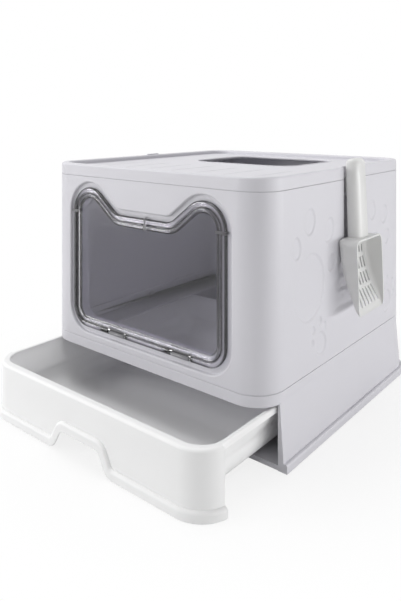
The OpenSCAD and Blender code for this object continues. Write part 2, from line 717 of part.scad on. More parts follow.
// Handle, leaning in towards its top, with the hook behind it
grip_r = 5;
grip_top = lid_top + grip_rise;
grip_run = grip_top - heel_z;
grip_tilt = atan2(grip_lean, grip_run);
hook_t = 2.6;
hook_w = 16;
module scoop_handle() {
    difference() {
        intersection() {
            translate([bowl_x + grip_lean + grip_t / 2, scoop_y, heel_z - 6]) rotate([0, -grip_tilt, 0])
                linear_extrude(grip_run + 10) plan(grip_t, grip_w, grip_r);
            // Round top, seen from the side and from the front
            upright(scoop_y - grip_w, scoop_y + grip_w) {
                translate([side - 1, heel_z - 5]) square([2 * bowl_d, grip_run + 5 - grip_r]);
                translate([bowl_x + grip_r, heel_z]) square([grip_t - 2 * grip_r, grip_run]);
                for (x = [grip_r, grip_t - grip_r]) translate([bowl_x + x, grip_top - grip_r]) circle(grip_r);
            }
            translate([side - 1, scoop_y, 0]) rotate([90, 0, 90]) linear_extrude(2 * bowl_d) {
                translate([-grip_w / 2, heel_z - 5]) square([grip_w, grip_run + 5 - 8]);
                translate([-grip_w / 2 + 8, heel_z]) square([grip_w - 16, grip_run]);
                for (e = [-1, 1]) translate([e * (grip_w / 2 - 8), grip_top - 8]) circle(8);
            }
        }
        // Hollow in the back of the handle, below the hook
        translate([bowl_x - 1, scoop_y - grip_w / 2 + 3, heel_z + 8])
            cube([grip_t - 1.5, grip_w - 6, hood_top - heel_z - 16]);
    }
    // Hook: a bridge over the hood's lug and the leg that hangs behind it
    translate([channel_floor + 0.4, scoop_y - hook_w / 2, hang_top + 0.3])
        cube([bowl_x + grip_r - channel_floor, hook_w, 6]);
    translate([channel_floor + 0.4, scoop_y - hook_w / 2, hang_z + shelf_h + 0.3])
        cube([hook_t, hook_w, hang_top - hang_z - shelf_h + 2]);
}

module scoop() color(c_scoop) {
    scoop_bowl();
    scoop_handle();
}

base_housing();
rubber_feet();
drawer_tray();
hood_shell();
hood_clips();
door_panel();
hinge_pins();
door_catches();
lid_cover();
exit_trim();
scoop();
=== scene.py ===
"""Looks of the drawer litter box: materials, soft moulded edges, light and camera.

Everything is in metres in the CAD frame. The sizes below and the points of the pieces made here
are in millimetres, as in the CAD source.
"""
import contextlib
import math
from collections import namedtuple

import bmesh
import bpy
import numpy as np
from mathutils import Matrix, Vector


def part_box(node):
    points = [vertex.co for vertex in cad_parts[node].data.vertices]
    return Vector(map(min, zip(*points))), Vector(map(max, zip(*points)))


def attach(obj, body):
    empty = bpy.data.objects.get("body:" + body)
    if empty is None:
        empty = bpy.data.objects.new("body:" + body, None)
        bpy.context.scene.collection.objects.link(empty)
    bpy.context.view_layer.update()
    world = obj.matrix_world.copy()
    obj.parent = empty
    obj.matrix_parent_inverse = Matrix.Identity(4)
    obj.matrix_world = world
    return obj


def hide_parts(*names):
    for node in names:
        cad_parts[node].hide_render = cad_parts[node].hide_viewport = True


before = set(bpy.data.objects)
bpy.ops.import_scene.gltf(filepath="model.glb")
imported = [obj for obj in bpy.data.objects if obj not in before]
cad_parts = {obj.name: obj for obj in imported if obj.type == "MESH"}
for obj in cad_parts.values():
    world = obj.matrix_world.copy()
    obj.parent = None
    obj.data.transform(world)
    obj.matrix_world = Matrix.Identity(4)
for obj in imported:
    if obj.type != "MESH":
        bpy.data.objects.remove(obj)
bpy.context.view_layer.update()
MM = 0.001

# ---------------------------------------------------------------- sizes, as in the CAD source
# Cabin: half its width, front and back planes, corner radius, foot and top of the hood's walls
SIDE, FRONT, BACK, CORNER_R = 212.0, -226.0, 226.0, 44.0
HOOD_Z, HOOD_TOP = 100.3, 354.1
# Channel in the hood's right side that the scoop hangs in: its sides and its foot
CHANNEL_Y, CHANNEL_Z = (-13.0, 33.0), 265.5
# Door: floor of its recess, its back, overall size, lower corners, ears, dip, bead and pane
RECESS_Y = FRONT + 5.0
DOOR_Y = RECESS_Y - 0.3
DOOR_W, DOOR_Z, DOOR_H, DOOR_R = 305.0, 118.0, 219.5, 32.0
EAR_R, EAR_DROP, EAR_SLOPE, DIP_R = 38.5, 36.0, 38.0, 26.0
BEAD_W, BEAD_H, PANE_T = 18.5, 6.2, 2.5
# Hinges: their places, notch, lugs, barrels and pins
HINGES, HINGE_W, LUG_W = (-52.0, 74.0), 38.0, 3.5
BARREL_R = BEAD_H / 2
PIN_Y, PIN_Z = DOOR_Y - BARREL_R, DOOR_Z + BARREL_R
# Lid: how far its panel lies under the rim, the panel's thickness, depth of the grooves
PANEL_DROP, LID_T, GROOVE_DEPTH = 7.0, 3.0, 2.3
# Drawer: how far it is out at rest, depth of the front's corners, rim, wall, foot, lip and notch
PULL = 111.5
DRAWER_FRONT = FRONT - PULL
CAP_D, RIM_Z, RIM_W, TUB_T = 33.0, 81.0, 12.0, 2.6
LIFT, LIP_H, LIP_OUT = 1.0, 13.0, 4.0
NOTCH_FOOT, NOTCH_TOP, NOTCH_H, NOTCH_R, NOTCH_FOOT_R = 53.0, 37.0, 28.0, 9.0, 20.0
# Scoop: place and size of its bowl, wall, and the rows of slots as shares of the bowl's length
HEEL_Z, BOWL_X, BOWL_Y, BOWL_W, BOWL_L, BOWL_D, SCOOP_T = 268.5, 212.5, 10.0, 89.0, 109.0, 30.0, 2.4
SIFT_ROWS = ((0.165, 0.275), (0.33, 0.485), (0.525, 0.68), (0.715, 0.925))
TIP_Z = HEEL_Z - BOWL_L


# ---------------------------------------------------------------- points and faces
def rounded(cx, cy, r, a0, a1, n):
    """Points of an arc in n steps between two angles in degrees."""
    angles = [math.radians(a0 + (a1 - a0) * i / n) for i in range(n + 1)]
    return [(cx + r * math.cos(a), cy + r * math.sin(a)) for a in angles]


def ramp(value, start, end):
    """0 before start, 1 past end, and even in between."""
    return min(1.0, max(0.0, (value - start) / (end - start)))


def quads(rows, width, start=0, closed=True, flip=False, skip=None):
    """Faces between rows of points that follow each other in one list."""
    faces = []
    for k in range(rows - 1):
        for i in range(width if closed else width - 1):
            if skip and skip(k, i):
                continue
            a, b = start + k * width + i, start + k * width + (i + 1) % width
            c, d = b + width, a + width
            faces.append((a, d, c, b) if flip else (a, b, c, d))
    return faces


def prism(n):
    """Faces of a prism, whose two outlines of n points follow each other in one list."""
    return [tuple(reversed(range(n))), tuple(range(n, 2 * n))] + quads(2, n)


# ---------------------------------------------------------------- meshes and pieces
def new_mesh(name, verts_mm, faces):
    """A mesh from points in millimetres."""
    mesh = bpy.data.meshes.new(name)
    mesh.from_pydata([Vector(v) * MM for v in verts_mm], [], faces)
    return mesh


@contextlib.contextmanager
def edited(mesh):
    """The mesh as a bmesh, which is written back after the with block."""
    bm = bmesh.new()
    bm.from_mesh(mesh)
    yield bm
    bm.to_mesh(mesh)
    bm.free()


def place(name, mesh, body, material, sharp_deg=40, replaces=()):
    """An object of this mesh that rides on a CAD body, shaded smooth between its sharp edges."""
    for polygon in mesh.polygons:
        polygon.use_smooth = True
    mesh.set_sharp_from_angle(angle=math.radians(sharp_deg))
    obj = bpy.data.objects.new(name, mesh)
    bpy.context.scene.collection.objects.link(obj)
    mesh.materials.clear()
    mesh.materials.append(material)
    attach(obj, body)
    if replaces:
        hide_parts(*replaces)
    return obj


def new_object(name, verts_mm, faces, body, material, sharp_deg=40, replaces=()):
    """A piece from points in millimetres."""
    mesh = new_mesh(name, verts_mm, faces)
    mesh.validate()
    mesh.update()
    return place(name, mesh, body, material, sharp_deg, replaces)


def weighted_normals(obj, weight):
    """Keeps flat faces flat next to rounded edges."""
    smooth = obj.modifiers.new("normals", "WEIGHTED_NORMAL")
    smooth.keep_sharp = True
    smooth.weight = weight


def round_edges(obj, width, segments):
    """Rounds all edges of a plain moulded piece."""
    bevel = obj.modifiers.new("edges", "BEVEL")
    bevel.width = width * MM
    bevel.segments = segments
    bevel.harden_normals = True


def solid_sheet(obj, thickness, edge=0.5, even=True):
    """Gives a sheet its thickness, behind its faces, and rounds the edges that this makes."""
    solid = obj.modifiers.new("thickness", "SOLIDIFY")
    solid.thickness = thickness * MM
    solid.offset = -1
    solid.use_even_offset = even
    bevel = obj.modifiers.new("edges", "BEVEL")
    bevel.width = edge * MM
    bevel.segments = 2
    bevel.limit_method = "ANGLE"
    bevel.angle_limit = math.radians(58)
    weighted_normals(obj, 60)


# A copy of a CAD node: points closer than this are one, flatter edges than this go, and sharper
# ones than this are rounded, by up to the largest round
SAME_POINT, FLAT_DEG, SHARP_DEG, LARGEST_ROUND = 0.002, 0.6, 32, 4.0


def dress(node, name, body, material, soften, drop=None, segments=3):
    """A copy of a CAD node whose flat faces are joined and whose edges are rounded.

    soften(a, b, convex) gives the rounding of the edge between a and b in millimetres, and
    drop(points) says which faces go.
    """
    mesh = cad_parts[node].data.copy()
    with edited(mesh) as bm:
        bmesh.ops.remove_doubles(bm, verts=bm.verts, dist=SAME_POINT * MM)
        bmesh.ops.dissolve_limit(bm, angle_limit=math.radians(FLAT_DEG), verts=bm.verts,
                                 edges=bm.edges)
        if drop:
            gone = [f for f in bm.faces if drop([v.co / MM for v in f.verts])]
            bmesh.ops.delete(bm, geom=gone, context="FACES")
        weight = bm.edges.layers.float.new("bevel_weight_edge")
        for edge in bm.edges:
            if len(edge.link_faces) == 2 and edge.calc_face_angle(0) >= math.radians(SHARP_DEG):
                a, b = (v.co / MM for v in edge.verts)
                edge[weight] = min(1.0, soften(a, b, edge.is_convex) / LARGEST_ROUND)
    if mesh.attributes.get("custom_normal"):
        mesh.attributes.remove(mesh.attributes["custom_normal"])
    obj = place(name, mesh, body, material, replaces=(node,))
    bevel = obj.modifiers.new("edges", "BEVEL")
    bevel.width = LARGEST_ROUND * MM
    bevel.segments = segments
    bevel.limit_method = "WEIGHT"
    bevel.use_clamp_overlap = False
    weighted_normals(obj, 100)


# ---------------------------------------------------------------- materials
def shader_node(tree, kind, values=None):
    """A new shader node, with the values of its inputs by name."""
    made = tree.nodes.new("ShaderNode" + kind)
    for name, value in (values or {}).items():
        made.inputs[name].default_value = value
    return made


def new_material(name):
    """A new node material, its tree and its shader."""
    m = bpy.data.materials.new(name)
    m.use_nodes = True
    return m, m.node_tree, m.node_tree.nodes["Principled BSDF"]


def noise(tree, place_at, scale, detail):
    """Noise over the piece, with its scale per metre."""
    made = shader_node(tree, "TexNoise", {"Scale": scale, "Detail": detail})
    tree.links.new(place_at.outputs["Object"], made.inputs["Vector"])
    return made


def drive(tree, source, low, high, target):
    """Lets a noise move a shader's value between two ends."""
    span = shader_node(tree, "MapRange", {"To Min": low, "To Max": high})
    tree.links.new(source.outputs["Fac"], span.inputs["Value"])
    tree.links.new(span.outputs["Result"], target)


def bumps(tree, source, strength, distance, shader):
    """Lets a noise raise the surface, by a distance in metres."""
    bump = shader_node(tree, "Bump", {"Strength": strength, "Distance": distance})
    tree.links.new(source.outputs["Fac"], bump.inputs["Height"])
    tree.links.new(bump.outputs["Normal"], shader.inputs["Normal"])


def colour_mix(tree, factor):
    """A colour mix that a socket drives."""
    mix = shader_node(tree, "Mix")
    mix.data_type = "RGBA"
    tree.links.new(factor, mix.inputs["Factor"])
    return mix


GLOSS_SPREAD, GRAIN_HEIGHT = 0.05, 0.0004


def plastic(name, colour, roughness, grain=0.05, mottling=0.012, grain_scale=900.0):
    """Moulded plastic: a fine spark-eroded grain, faint flow marks and slightly uneven gloss."""
    m, tree, shader = new_material(name)
    shader.inputs["IOR"].default_value = 1.49
    place_at = shader_node(tree, "TexCoord")
    flow = noise(tree, place_at, 9.0, 3.0)
    tint = colour_mix(tree, flow.outputs["Fac"])
    tint.inputs["A"].default_value = (*[c * (1 - mottling) for c in colour], 1)
    tint.inputs["B"].default_value = (*[min(1, c * (1 + mottling)) for c in colour], 1)
    tree.links.new(tint.outputs["Result"], shader.inputs["Base Color"])
    drive(tree, flow, roughness - GLOSS_SPREAD, roughness + GLOSS_SPREAD,
          shader.inputs["Roughness"])
    bumps(tree, noise(tree, place_at, grain_scale, 2.0), grain, GRAIN_HEIGHT, shader)
    return m


PANE_FROM = 0.9  # The pane, past this share of the bead's width, is a little bluer: with the pane's grey in the bands, this is painted shade of the dim inside seen through it
# Painted highlight: the pale tint of the slope along the door's foot
PAINTED_FOOT_HIGHLIGHT = (0.97, 0.965, 0.98, 1)


def clear_plastic(name, bands, shadow, roughness=0.03):
    """Polished clear plastic that lets part of the shadow rays through.

    bands gives its tint across the bead, as (share of the bead's width, grey). Dark greys on the
    slopes and grooves are painted shade, standing in for the light caught inside the wall.
    """
    m, tree, shader = new_material(name)
    links = tree.links
    shader.inputs["IOR"].default_value = 1.47
    shader.inputs["Transmission Weight"].default_value = 1.0
    across = shader_node(tree, "Attribute")
    across.attribute_name = "across"
    colour = shader_node(tree, "ValToRGB")
    points = colour.color_ramp.elements
    while len(points) < len(bands):
        points.new(0.5)
    for point, (at, grey) in zip(points, bands):
        point.position = at
        blue = 1.1 if at > PANE_FROM else 1.02
        point.color = (grey, grey * 0.985, grey * blue, 1)
    links.new(across.outputs["Fac"], colour.inputs["Fac"])
    # Painted highlight: a pale tint on the slope along the door's foot, standing in for the light
    # from above that it catches
    painted_highlight = shader_node(tree, "Attribute")
    painted_highlight.attribute_name = "painted_highlight"
    tint = colour_mix(tree, painted_highlight.outputs["Fac"])
    links.new(colour.outputs["Color"], tint.inputs["A"])
    tint.inputs["B"].default_value = PAINTED_FOOT_HIGHLIGHT
    links.new(tint.outputs["Result"], shader.inputs["Base Color"])
    ripple = noise(tree, shader_node(tree, "TexCoord"), 9.0, 1.0)
    bumps(tree, ripple, 0.01, 0.001, shader)
    drive(tree, ripple, roughness * 0.7, roughness * 1.6, shader.inputs["Roughness"])
    path = shader_node(tree, "LightPath")
    open_way = shader_node(tree, "BsdfTransparent", {"Color": (*shadow, 1)})
    mix = shader_node(tree, "MixShader")
    links.new(path.outputs["Is Shadow Ray"], mix.inputs["Fac"])
    links.new(shader.outputs["BSDF"], mix.inputs[1])
    links.new(open_way.outputs["BSDF"], mix.inputs[2])
    links.new(mix.outputs["Shader"], tree.nodes["Material Output"].inputs["Surface"])
    return m


def steel(name):
    """Drawn wire, with fine marks on it."""
    m = plastic(name, (0.3, 0.3, 0.31), 0.5, 0.1, 0.03)
    m.node_tree.nodes["Principled BSDF"].inputs["Metallic"].default_value = 1.0
    return m


SHELL = plastic("shell_plastic", (0.665, 0.657, 0.697), 0.45)
CLIPS = plastic("clip_plastic", (0.62, 0.61, 0.66), 0.4)
TRIM = plastic("edging", (0.70, 0.69, 0.735), 0.5)
WHITE = plastic("drawer_plastic", (0.89, 0.89, 0.89), 0.52)
SCOOP = plastic("scoop_plastic", (0.73, 0.73, 0.722), 0.36)
RUBBER = plastic("foot_rubber", (0.10, 0.10, 0.105), 0.75, 0.3, 0.05, grain_scale=400.0)
# Tint across the bead: the dark greys are painted shade on its slopes and grooves, and the last
# one, the pane's grey, is painted shade of the dim inside seen through it
BEAD_PAINTED_SHADE_BANDS = ((0.0, 0.03), (0.09, 0.05), (0.15, 0.7), (0.30, 0.92), (0.40, 0.12), (0.50, 0.05),
              (0.56, 0.8), (0.72, 0.88), (0.80, 0.05), (0.88, 0.08), (0.94, 0.62))
CLEAR = clear_plastic("door_clear", BEAD_PAINTED_SHADE_BANDS, (0.7, 0.7, 0.73))
FROSTED = clear_plastic("catch_clear", ((0.0, 0.36), (1.0, 0.4)), (0.5, 0.5, 0.52), 0.35)
# The clear door's barrels get an opaque dark grey: painted shade of the shadowed hinge notches seen
# through them
BARREL_SHADE_GREY = plastic("barrel_painted_shade", (0.24, 0.238, 0.25), 0.3)
STEEL = steel("pin_steel")


# ---------------------------------------------------------------- door
NOTCH_ROOM = 1.2  # Between a barrel and the bead over it
NOTCH_FLARE = 0.2  # How much wider a hinge's notch is at the door's foot
# Where the painted highlight on the slope along the door's foot starts and ends, as shares of the
# bead's width
PAINTED_HIGHLIGHT_FADES = ((0.55, 0.61), (0.87, 0.82))


def door_columns():
    """Points right round the door's outline, from the lower left.

    Each is (x, z, outward x, outward z, least inset): over the hinges the bead is cut away.
    """
    right = []

    def arc(cx, cz, r, a0, a1, steps, inwards=1.0):
        for x, z in rounded(0, 0, 1, a0, a1, steps):
            right.append((cx + r * x, cz + r * z, inwards * x, inwards * z, 0.0))

    ear_x, ear_z = DOOR_W / 2 - EAR_R, DOOR_Z + DOOR_H - EAR_R
    s, c = math.sin(math.radians(EAR_SLOPE)), math.cos(math.radians(EAR_SLOPE))
    slope_x, slope_z = ear_x - EAR_R * s, ear_z + EAR_R * c
    dip_z = DOOR_Z + DOOR_H - EAR_DROP + DIP_R
    dip_x = slope_x - (slope_z - dip_z + DIP_R * c) / s * c - DIP_R * s
    arc(DOOR_W / 2 - DOOR_R, DOOR_Z + DOOR_R, DOOR_R, -90, 0, 18)
    arc(ear_x, ear_z, EAR_R, 0, 90 + EAR_SLOPE, 30)
    arc(dip_x, dip_z, DIP_R, EAR_SLOPE - 90, -90, 14, inwards=-1.0)
    left = [(-x, z, -ox, oz, low) for x, z, ox, oz, low in reversed(right)]

    notch = 2 * BARREL_R + NOTCH_ROOM
    outer = HINGE_W / 2 + 0.5
    inner = outer - NOTCH_FLARE
    bottom = [(h + x, DOOR_Z, 0.0, -1.0, low) for h in HINGES
              for x, low in ((-outer, 0.0), (-inner, notch), (inner, notch), (outer, 0.0))]
    return bottom + right + left


def spline(points, steps):
    """Points on a smooth curve through the given ones."""
    out = []
    last = len(points) - 1
    for i in range(last):
        p = [np.array(points[max(0, min(last, i + k))], float) for k in (-1, 0, 1, 2)]
        for j in range(steps):
            t = j / steps
            out.append(0.5 * (2 * p[1] + (p[2] - p[0]) * t
                              + (2 * p[0] - 5 * p[1] + 4 * p[2] - p[3]) * t ** 2
                              + (3 * p[1] - p[0] - 3 * p[2] + p[3]) * t ** 3))
    out.append(np.array(points[-1], float))
    return out


def door_section():
    """The door's section, from the pane's front over both beads to its back: (inset, height)."""
    b, inner_h = BEAD_W, BEAD_H - 1
    front_side = [
        (b, PANE_T), (b * 0.88, PANE_T + 0.15),
        # Inner bead
        (b * 0.80, inner_h - 1.2), (b * 0.74, inner_h - 0.3), (b * 0.67, inner_h),
        (b * 0.59, inner_h - 0.5),
        # Groove
        (b * 0.52, PANE_T + 1.0), (b * 0.46, PANE_T + 1.6),
        # Outer bead
        (b * 0.39, BEAD_H - 0.8), (b * 0.30, BEAD_H - 0.15), (b * 0.2, BEAD_H),
        (b * 0.10, BEAD_H - 0.5), (b * 0.03, BEAD_H - 1.9), (0, BEAD_H / 2)]
    back_side = [(0, BEAD_H / 2), (b * 0.02, 1.2), (b * 0.07, 0.2), (b * 0.12, 0.0), (b, 0.0)]
    return spline(front_side, 4)[:-1] + spline(back_side, 3)


def door():
    """Clear flap with its two rounded beads and a notch over each hinge."""
    section, columns = door_section(), door_columns()
    verts, across, painted_highlight = [], [], []
    for inset, height in section:
        share = inset / BEAD_W
        slope = math.prod(ramp(share, *fade) for fade in PAINTED_HIGHLIGHT_FADES)
        for x, z, ox, oz, low in columns:
            d = max(inset, low)
            verts.append((x - d * ox, DOOR_Y - max(0.0, height), z - d * oz))
            across.append(share)
            # Painted highlight, only on the lower half where the slope faces up
            painted_highlight.append(slope * max(0.0, -oz) ** 3 if z < DOOR_Z + DOOR_H / 2 else 0.0)
    n = len(columns)
    pane = [tuple(range(n)), tuple(reversed(range(len(verts) - n, len(verts))))]
    mesh = new_mesh("door_flap", verts, pane + quads(len(section), n, flip=True))
    mesh.attributes.new("across", "FLOAT", "POINT").data.foreach_set("value", across)
    mesh.attributes.new("painted_highlight", "FLOAT", "POINT").data.foreach_set("value", painted_highlight)
    with edited(mesh) as bm:
        bmesh.ops.remove_doubles(bm, verts=bm.verts, dist=1e-6)
        bmesh.ops.recalc_face_normals(bm, faces=bm.faces)
    place("door_flap", mesh, "door", CLEAR, 50, replaces=("door_panel",))


def barrels():
    """The door's barrels and the webs that carry them, one in each hinge notch."""
    side_play, end_round, end_share = 0.8, 0.4, 0.9
    half = (HINGE_W - 2 * LUG_W - side_play) / 2
    r, web_top, web_back, web_front = BARREL_R - 0.1, 6.3, 1.4, -0.8
    profile = [(web_back, web_top), *rounded(0, 0, r, 62, -242, 24), (web_front, web_top)]
    stations = ((-half, end_share), (end_round - half, 1.0), (half - end_round, 1.0),
                (half, end_share))
    n = len(profile)
    verts, faces = [], []
    for h in HINGES:
        start = len(verts)
        for x, share in stations:
            verts += [(h + x, PIN_Y + y * share, PIN_Z + (z * share if z < web_top else z))
                      for y, z in profile]
        last = len(verts) - n
        faces += quads(len(stations), n, start)
        faces.append(tuple(start + i for i in reversed(range(n))))
        faces.append(tuple(last + i for i in range(n)))
    new_object("door_barrels", verts, faces, "door", BARREL_SHADE_GREY, 40)


# ---------------------------------------------------------------- hood
# Paw prints: middle as shares of the wall's depth and height, size, and turn in degrees
PAWS = ((-0.254, 0.452, 1.0, -19), (0.212, 0.468, 0.86, -14), (-0.186, 0.121, 0.36, 24),
        (0.327, 0.137, 0.4, -20))
# The pad and four toes of a full-size print: middle, half axes, and tilt in degrees
OVALS = ((0, 0, 40, 46, 0), (-53, 44, 11, 15, 26), (53, 44, 11, 15, -26),
         (-29, 85, 14, 18, 10), (29, 85, 14, 18, -10))
# Depth of the prints here and in the CAD source, and width of their soft slope
PRINT_DEPTH, CAD_PRINT_DEPTH, PRINT_SLOPE = 1.6, 0.8, 2.0
# The side skins: radius of their upper and lower edge, and where the cabin's corners start
SKIN_EDGE_R, SKIN_END = 0.5, BACK - CORNER_R
# The part of the hood's front with the door's recess (half width, foot, top), and the heights
# between which the hinges' lugs stand on the recess floor
RECESS_ZONE, LUG_ZONE = (175.0, 105.0, 352.0), (115.0, 127.0)
# Roundings: the recess's front edge, the doorway's edge, the edge round the recess floor, edges at
# the hinges, and all others
FRONT_ROUND, DOORWAY_ROUND, RECESS_ROUND, LUG_ROUND, SMALL_ROUND = 2.4, 2.0, 1.1, 0.3, 0.45


def turned(u, v, degrees):
    """A point seen from axes that are turned by some degrees."""
    a = math.radians(degrees)
    return u * math.cos(a) + v * math.sin(a), -u * math.sin(a) + v * math.cos(a)


def paw_depth(y, z):
    """How deep the paw prints are pressed in, with a soft slope at their edges."""
    deep = np.zeros_like(y)
    for along, up, size, turn in PAWS:
        u, v = turned(y - along * (BACK - FRONT), z - HOOD_Z - up * (HOOD_TOP - HOOD_Z), turn)
        u, v = u / size, v / size
        for cu, cv, a, b, tilt in OVALS:
            p, q = turned(u - cu, v - cv, tilt)
            k = np.sqrt((p / a) ** 2 + (q / b) ** 2) + 1e-6
            slope = np.sqrt((p / a ** 2) ** 2 + (q / b ** 2) ** 2) / k + 1e-6
            inside = (1 - k) / slope * size
            s = np.clip((inside + PRINT_SLOPE * 0.5) / (PRINT_SLOPE * 1.2), 0, 1)
            deep = np.maximum(deep, PRINT_DEPTH * s * s * (3 - 2 * s))
    return deep


def grid_lines(*stops, step=1.25):
    """Even steps between stops that each get a line."""
    out = [stops[0]]
    for a, b in zip(stops, stops[1:]):
        n = max(1, round(abs(b - a) / step))
        out += [a + (b - a) * i / n for i in range(1, n + 1)]
    return np.array(out)


def side_skin(sign):
    """Outer face of a side wall between its corners, with the soft paw prints."""
    ys = grid_lines(-SKIN_END, *CHANNEL_Y, SKIN_END)
    zs = np.concatenate([
        [HOOD_Z, HOOD_Z + 0.12, HOOD_Z + 0.4],
        grid_lines(HOOD_Z + SKIN_EDGE_R, CHANNEL_Z, HOOD_TOP - SKIN_EDGE_R),
        [HOOD_TOP - 0.4, HOOD_TOP - 0.12, HOOD_TOP]])
    y, z = np.meshgrid(ys, zs)
    to_edge = np.minimum(z - HOOD_Z, HOOD_TOP - z)
    over = np.maximum(0, SKIN_EDGE_R ** 2 - (SKIN_EDGE_R - to_edge) ** 2)
    edge_round = np.where(to_edge < SKIN_EDGE_R, SKIN_EDGE_R - np.sqrt(over), 0)
    x = SIDE - paw_depth(y, z) - edge_round
    verts = np.stack([x * sign, y, z], -1).reshape(-1, 3)

    def in_channel(k, i):
        cy, cz = (ys[i] + ys[i + 1]) / 2, (zs[k] + zs[k + 1]) / 2
        return sign > 0 and CHANNEL_Y[0] < cy < CHANNEL_Y[1] and cz > CHANNEL_Z

    faces = quads(len(zs), len(ys), closed=False, skip=in_channel)
    name = "hood_side_right" if sign > 0 else "hood_side_left"
    new_object(name, verts, faces if sign > 0 else [face[::-1] for face in faces],
               "hood", SHELL, 60)


def drop_hood_sides(points):
    """The CAD's outer side faces with their paw prints, which the soft side skins stand for."""
    near = 0.1
    if not all(SIDE - CAD_PRINT_DEPTH - near < abs(x) < SIDE + 0.06 and abs(y) < SKIN_END + near
               for x, y, z in points):
        return False
    lug = all(x > 0 and CHANNEL_Y[0] - near < y < CHANNEL_Y[1] + near and z > CHANNEL_Z - near
              for x, y, z in points)
    low, high = min(p[2] for p in points), max(p[2] for p in points)
    # A face with no height is an edge face of the wall, unless it is a print's sliver inside it
    return not lug and (high - low > 0.05 or HOOD_Z + 3 < low < HOOD_TOP - 3)


def soften_hood(a, b, convex):
    """Roundings of the hood: full at the recess round the door, small elsewhere."""

    def on_plane(y):
        return abs(a[1] - y) < 0.06 and abs(b[1] - y) < 0.06

    near_hinge = (any(abs((a[0] + b[0]) / 2 - h) < HINGE_W / 2 + 2 for h in HINGES)
                  and a[2] < DOOR_Z + 9)
    half, foot, top = RECESS_ZONE
    in_zone = max(abs(a[0]), abs(b[0])) < half and foot < a[2] < top
    if on_plane(FRONT) and in_zone:
        return FRONT_ROUND
    if on_plane(RECESS_Y) and in_zone:
        if convex:
            return DOORWAY_ROUND
        return 0.0 if near_hinge and LUG_ZONE[0] < a[2] < LUG_ZONE[1] else RECESS_ROUND
    if a[1] < RECESS_Y + 0.1 and near_hinge:
        return LUG_ROUND
    return SMALL_ROUND


# ---------------------------------------------------------------- base, lid and edging
BAY_TOP = 84.0  # Under it are the drawer's bay, the skirt and the floor, which stay sharp
SEAM_ROUND, EDGING_ROUND = 0.9, 0.3


def soften_base(a, b, convex):
    """Roundings of the base: largest where the hood stands on it."""
    low = min(a[2], b[2])
    if low < BAY_TOP or not convex:
        return 0.0
    return SEAM_ROUND if low > HOOD_Z - 0.5 else SMALL_ROUND


def soften_lid(a, b, convex):
    return SMALL_ROUND


def soften_edging(a, b, convex):
    return EDGING_ROUND


def groove_floor():
    """A plate under the lid's slots, which makes them the shallow grooves that the photo shows."""
    half, y0, y1, r = 158.0, FRONT + 53.0, FRONT + 173.0, 6.0
    panel_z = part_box("lid_cover")[1][2] / MM - PANEL_DROP
    outline = []
    for cx, cy, a in ((half - r, y1 - r, 0), (r - half, y1 - r, 90), (r - half, y0 + r, 180),
                      (half - r, y0 + r, 270)):
        outline += rounded(cx, cy, r, a, a + 90, 6)
    below = 0.6  # The plate closes the slots from just under the panel
    verts = [(x, y, z) for z in (panel_z - LID_T - below, panel_z - GROOVE_DEPTH)
             for x, y in outline]
    obj = new_object("lid_groove_floor", verts, prism(len(outline)), "lid", SHELL)
    round_edges(obj, 0.3, 2)


# ---------------------------------------------------------------- drawer
CORNER_STEPS = 14  # Columns round each of the front's corners
# Radii of the folds: over the lip, over the front's top and its inner edge, and over the outer and
# the inner edge of the tub's rim
LIP_FOLD, CAP_FOLD, CAP_INNER_FOLD, RIM_FOLD, RIM_INNER_FOLD = 4.2, 4.4, 2.2, 2.6, 1.6
# The tub: set back from the cabin's sides, radius of its back corners at the rim, its walls' draft,
# the fillet round its floor, and the floor's height
TUB_INSET, TUB_BACK_R, TUB_DRAFT, TUB_FILLET, TUB_FLOOR = 6.0, 40.0, 13.0, 27.4, 12.4


def notch_line():
    """The foot of the drawer's front from left to right: (x, z, outward x, outward z)."""
    a = math.atan2(NOTCH_H, NOTCH_FOOT - NOTCH_TOP)
    turn = math.tan(a / 2)
    foot = (NOTCH_FOOT + NOTCH_FOOT_R * turn, LIFT + NOTCH_FOOT_R)
    top = (NOTCH_TOP - NOTCH_R * turn, LIFT + NOTCH_H - NOTCH_R)
    steps = 12
    half = [(x, LIFT, 0.0, 1.0) for x in (168.0, 140.0, 115.0, 90.0, 72.0)]
    for i in range(steps + 1):
        c, s = math.cos(1.5 * math.pi - a * i / steps), math.sin(1.5 * math.pi - a * i / steps)
        half.append((foot[0] + NOTCH_FOOT_R * c, foot[1] + NOTCH_FOOT_R * s, -c, -s))
    for i in range(steps + 1):
        t = math.pi / 2 - a + a * i / steps
        c, s = math.cos(t), math.sin(t)
        half.append((top[0] + NOTCH_R * c, top[1] + NOTCH_R * s, c, s))
    half.append((10.0, LIFT + NOTCH_H, 0.0, 1.0))
    return [(-x, z, -ox, oz) for x, z, ox, oz in half] + half[::-1]


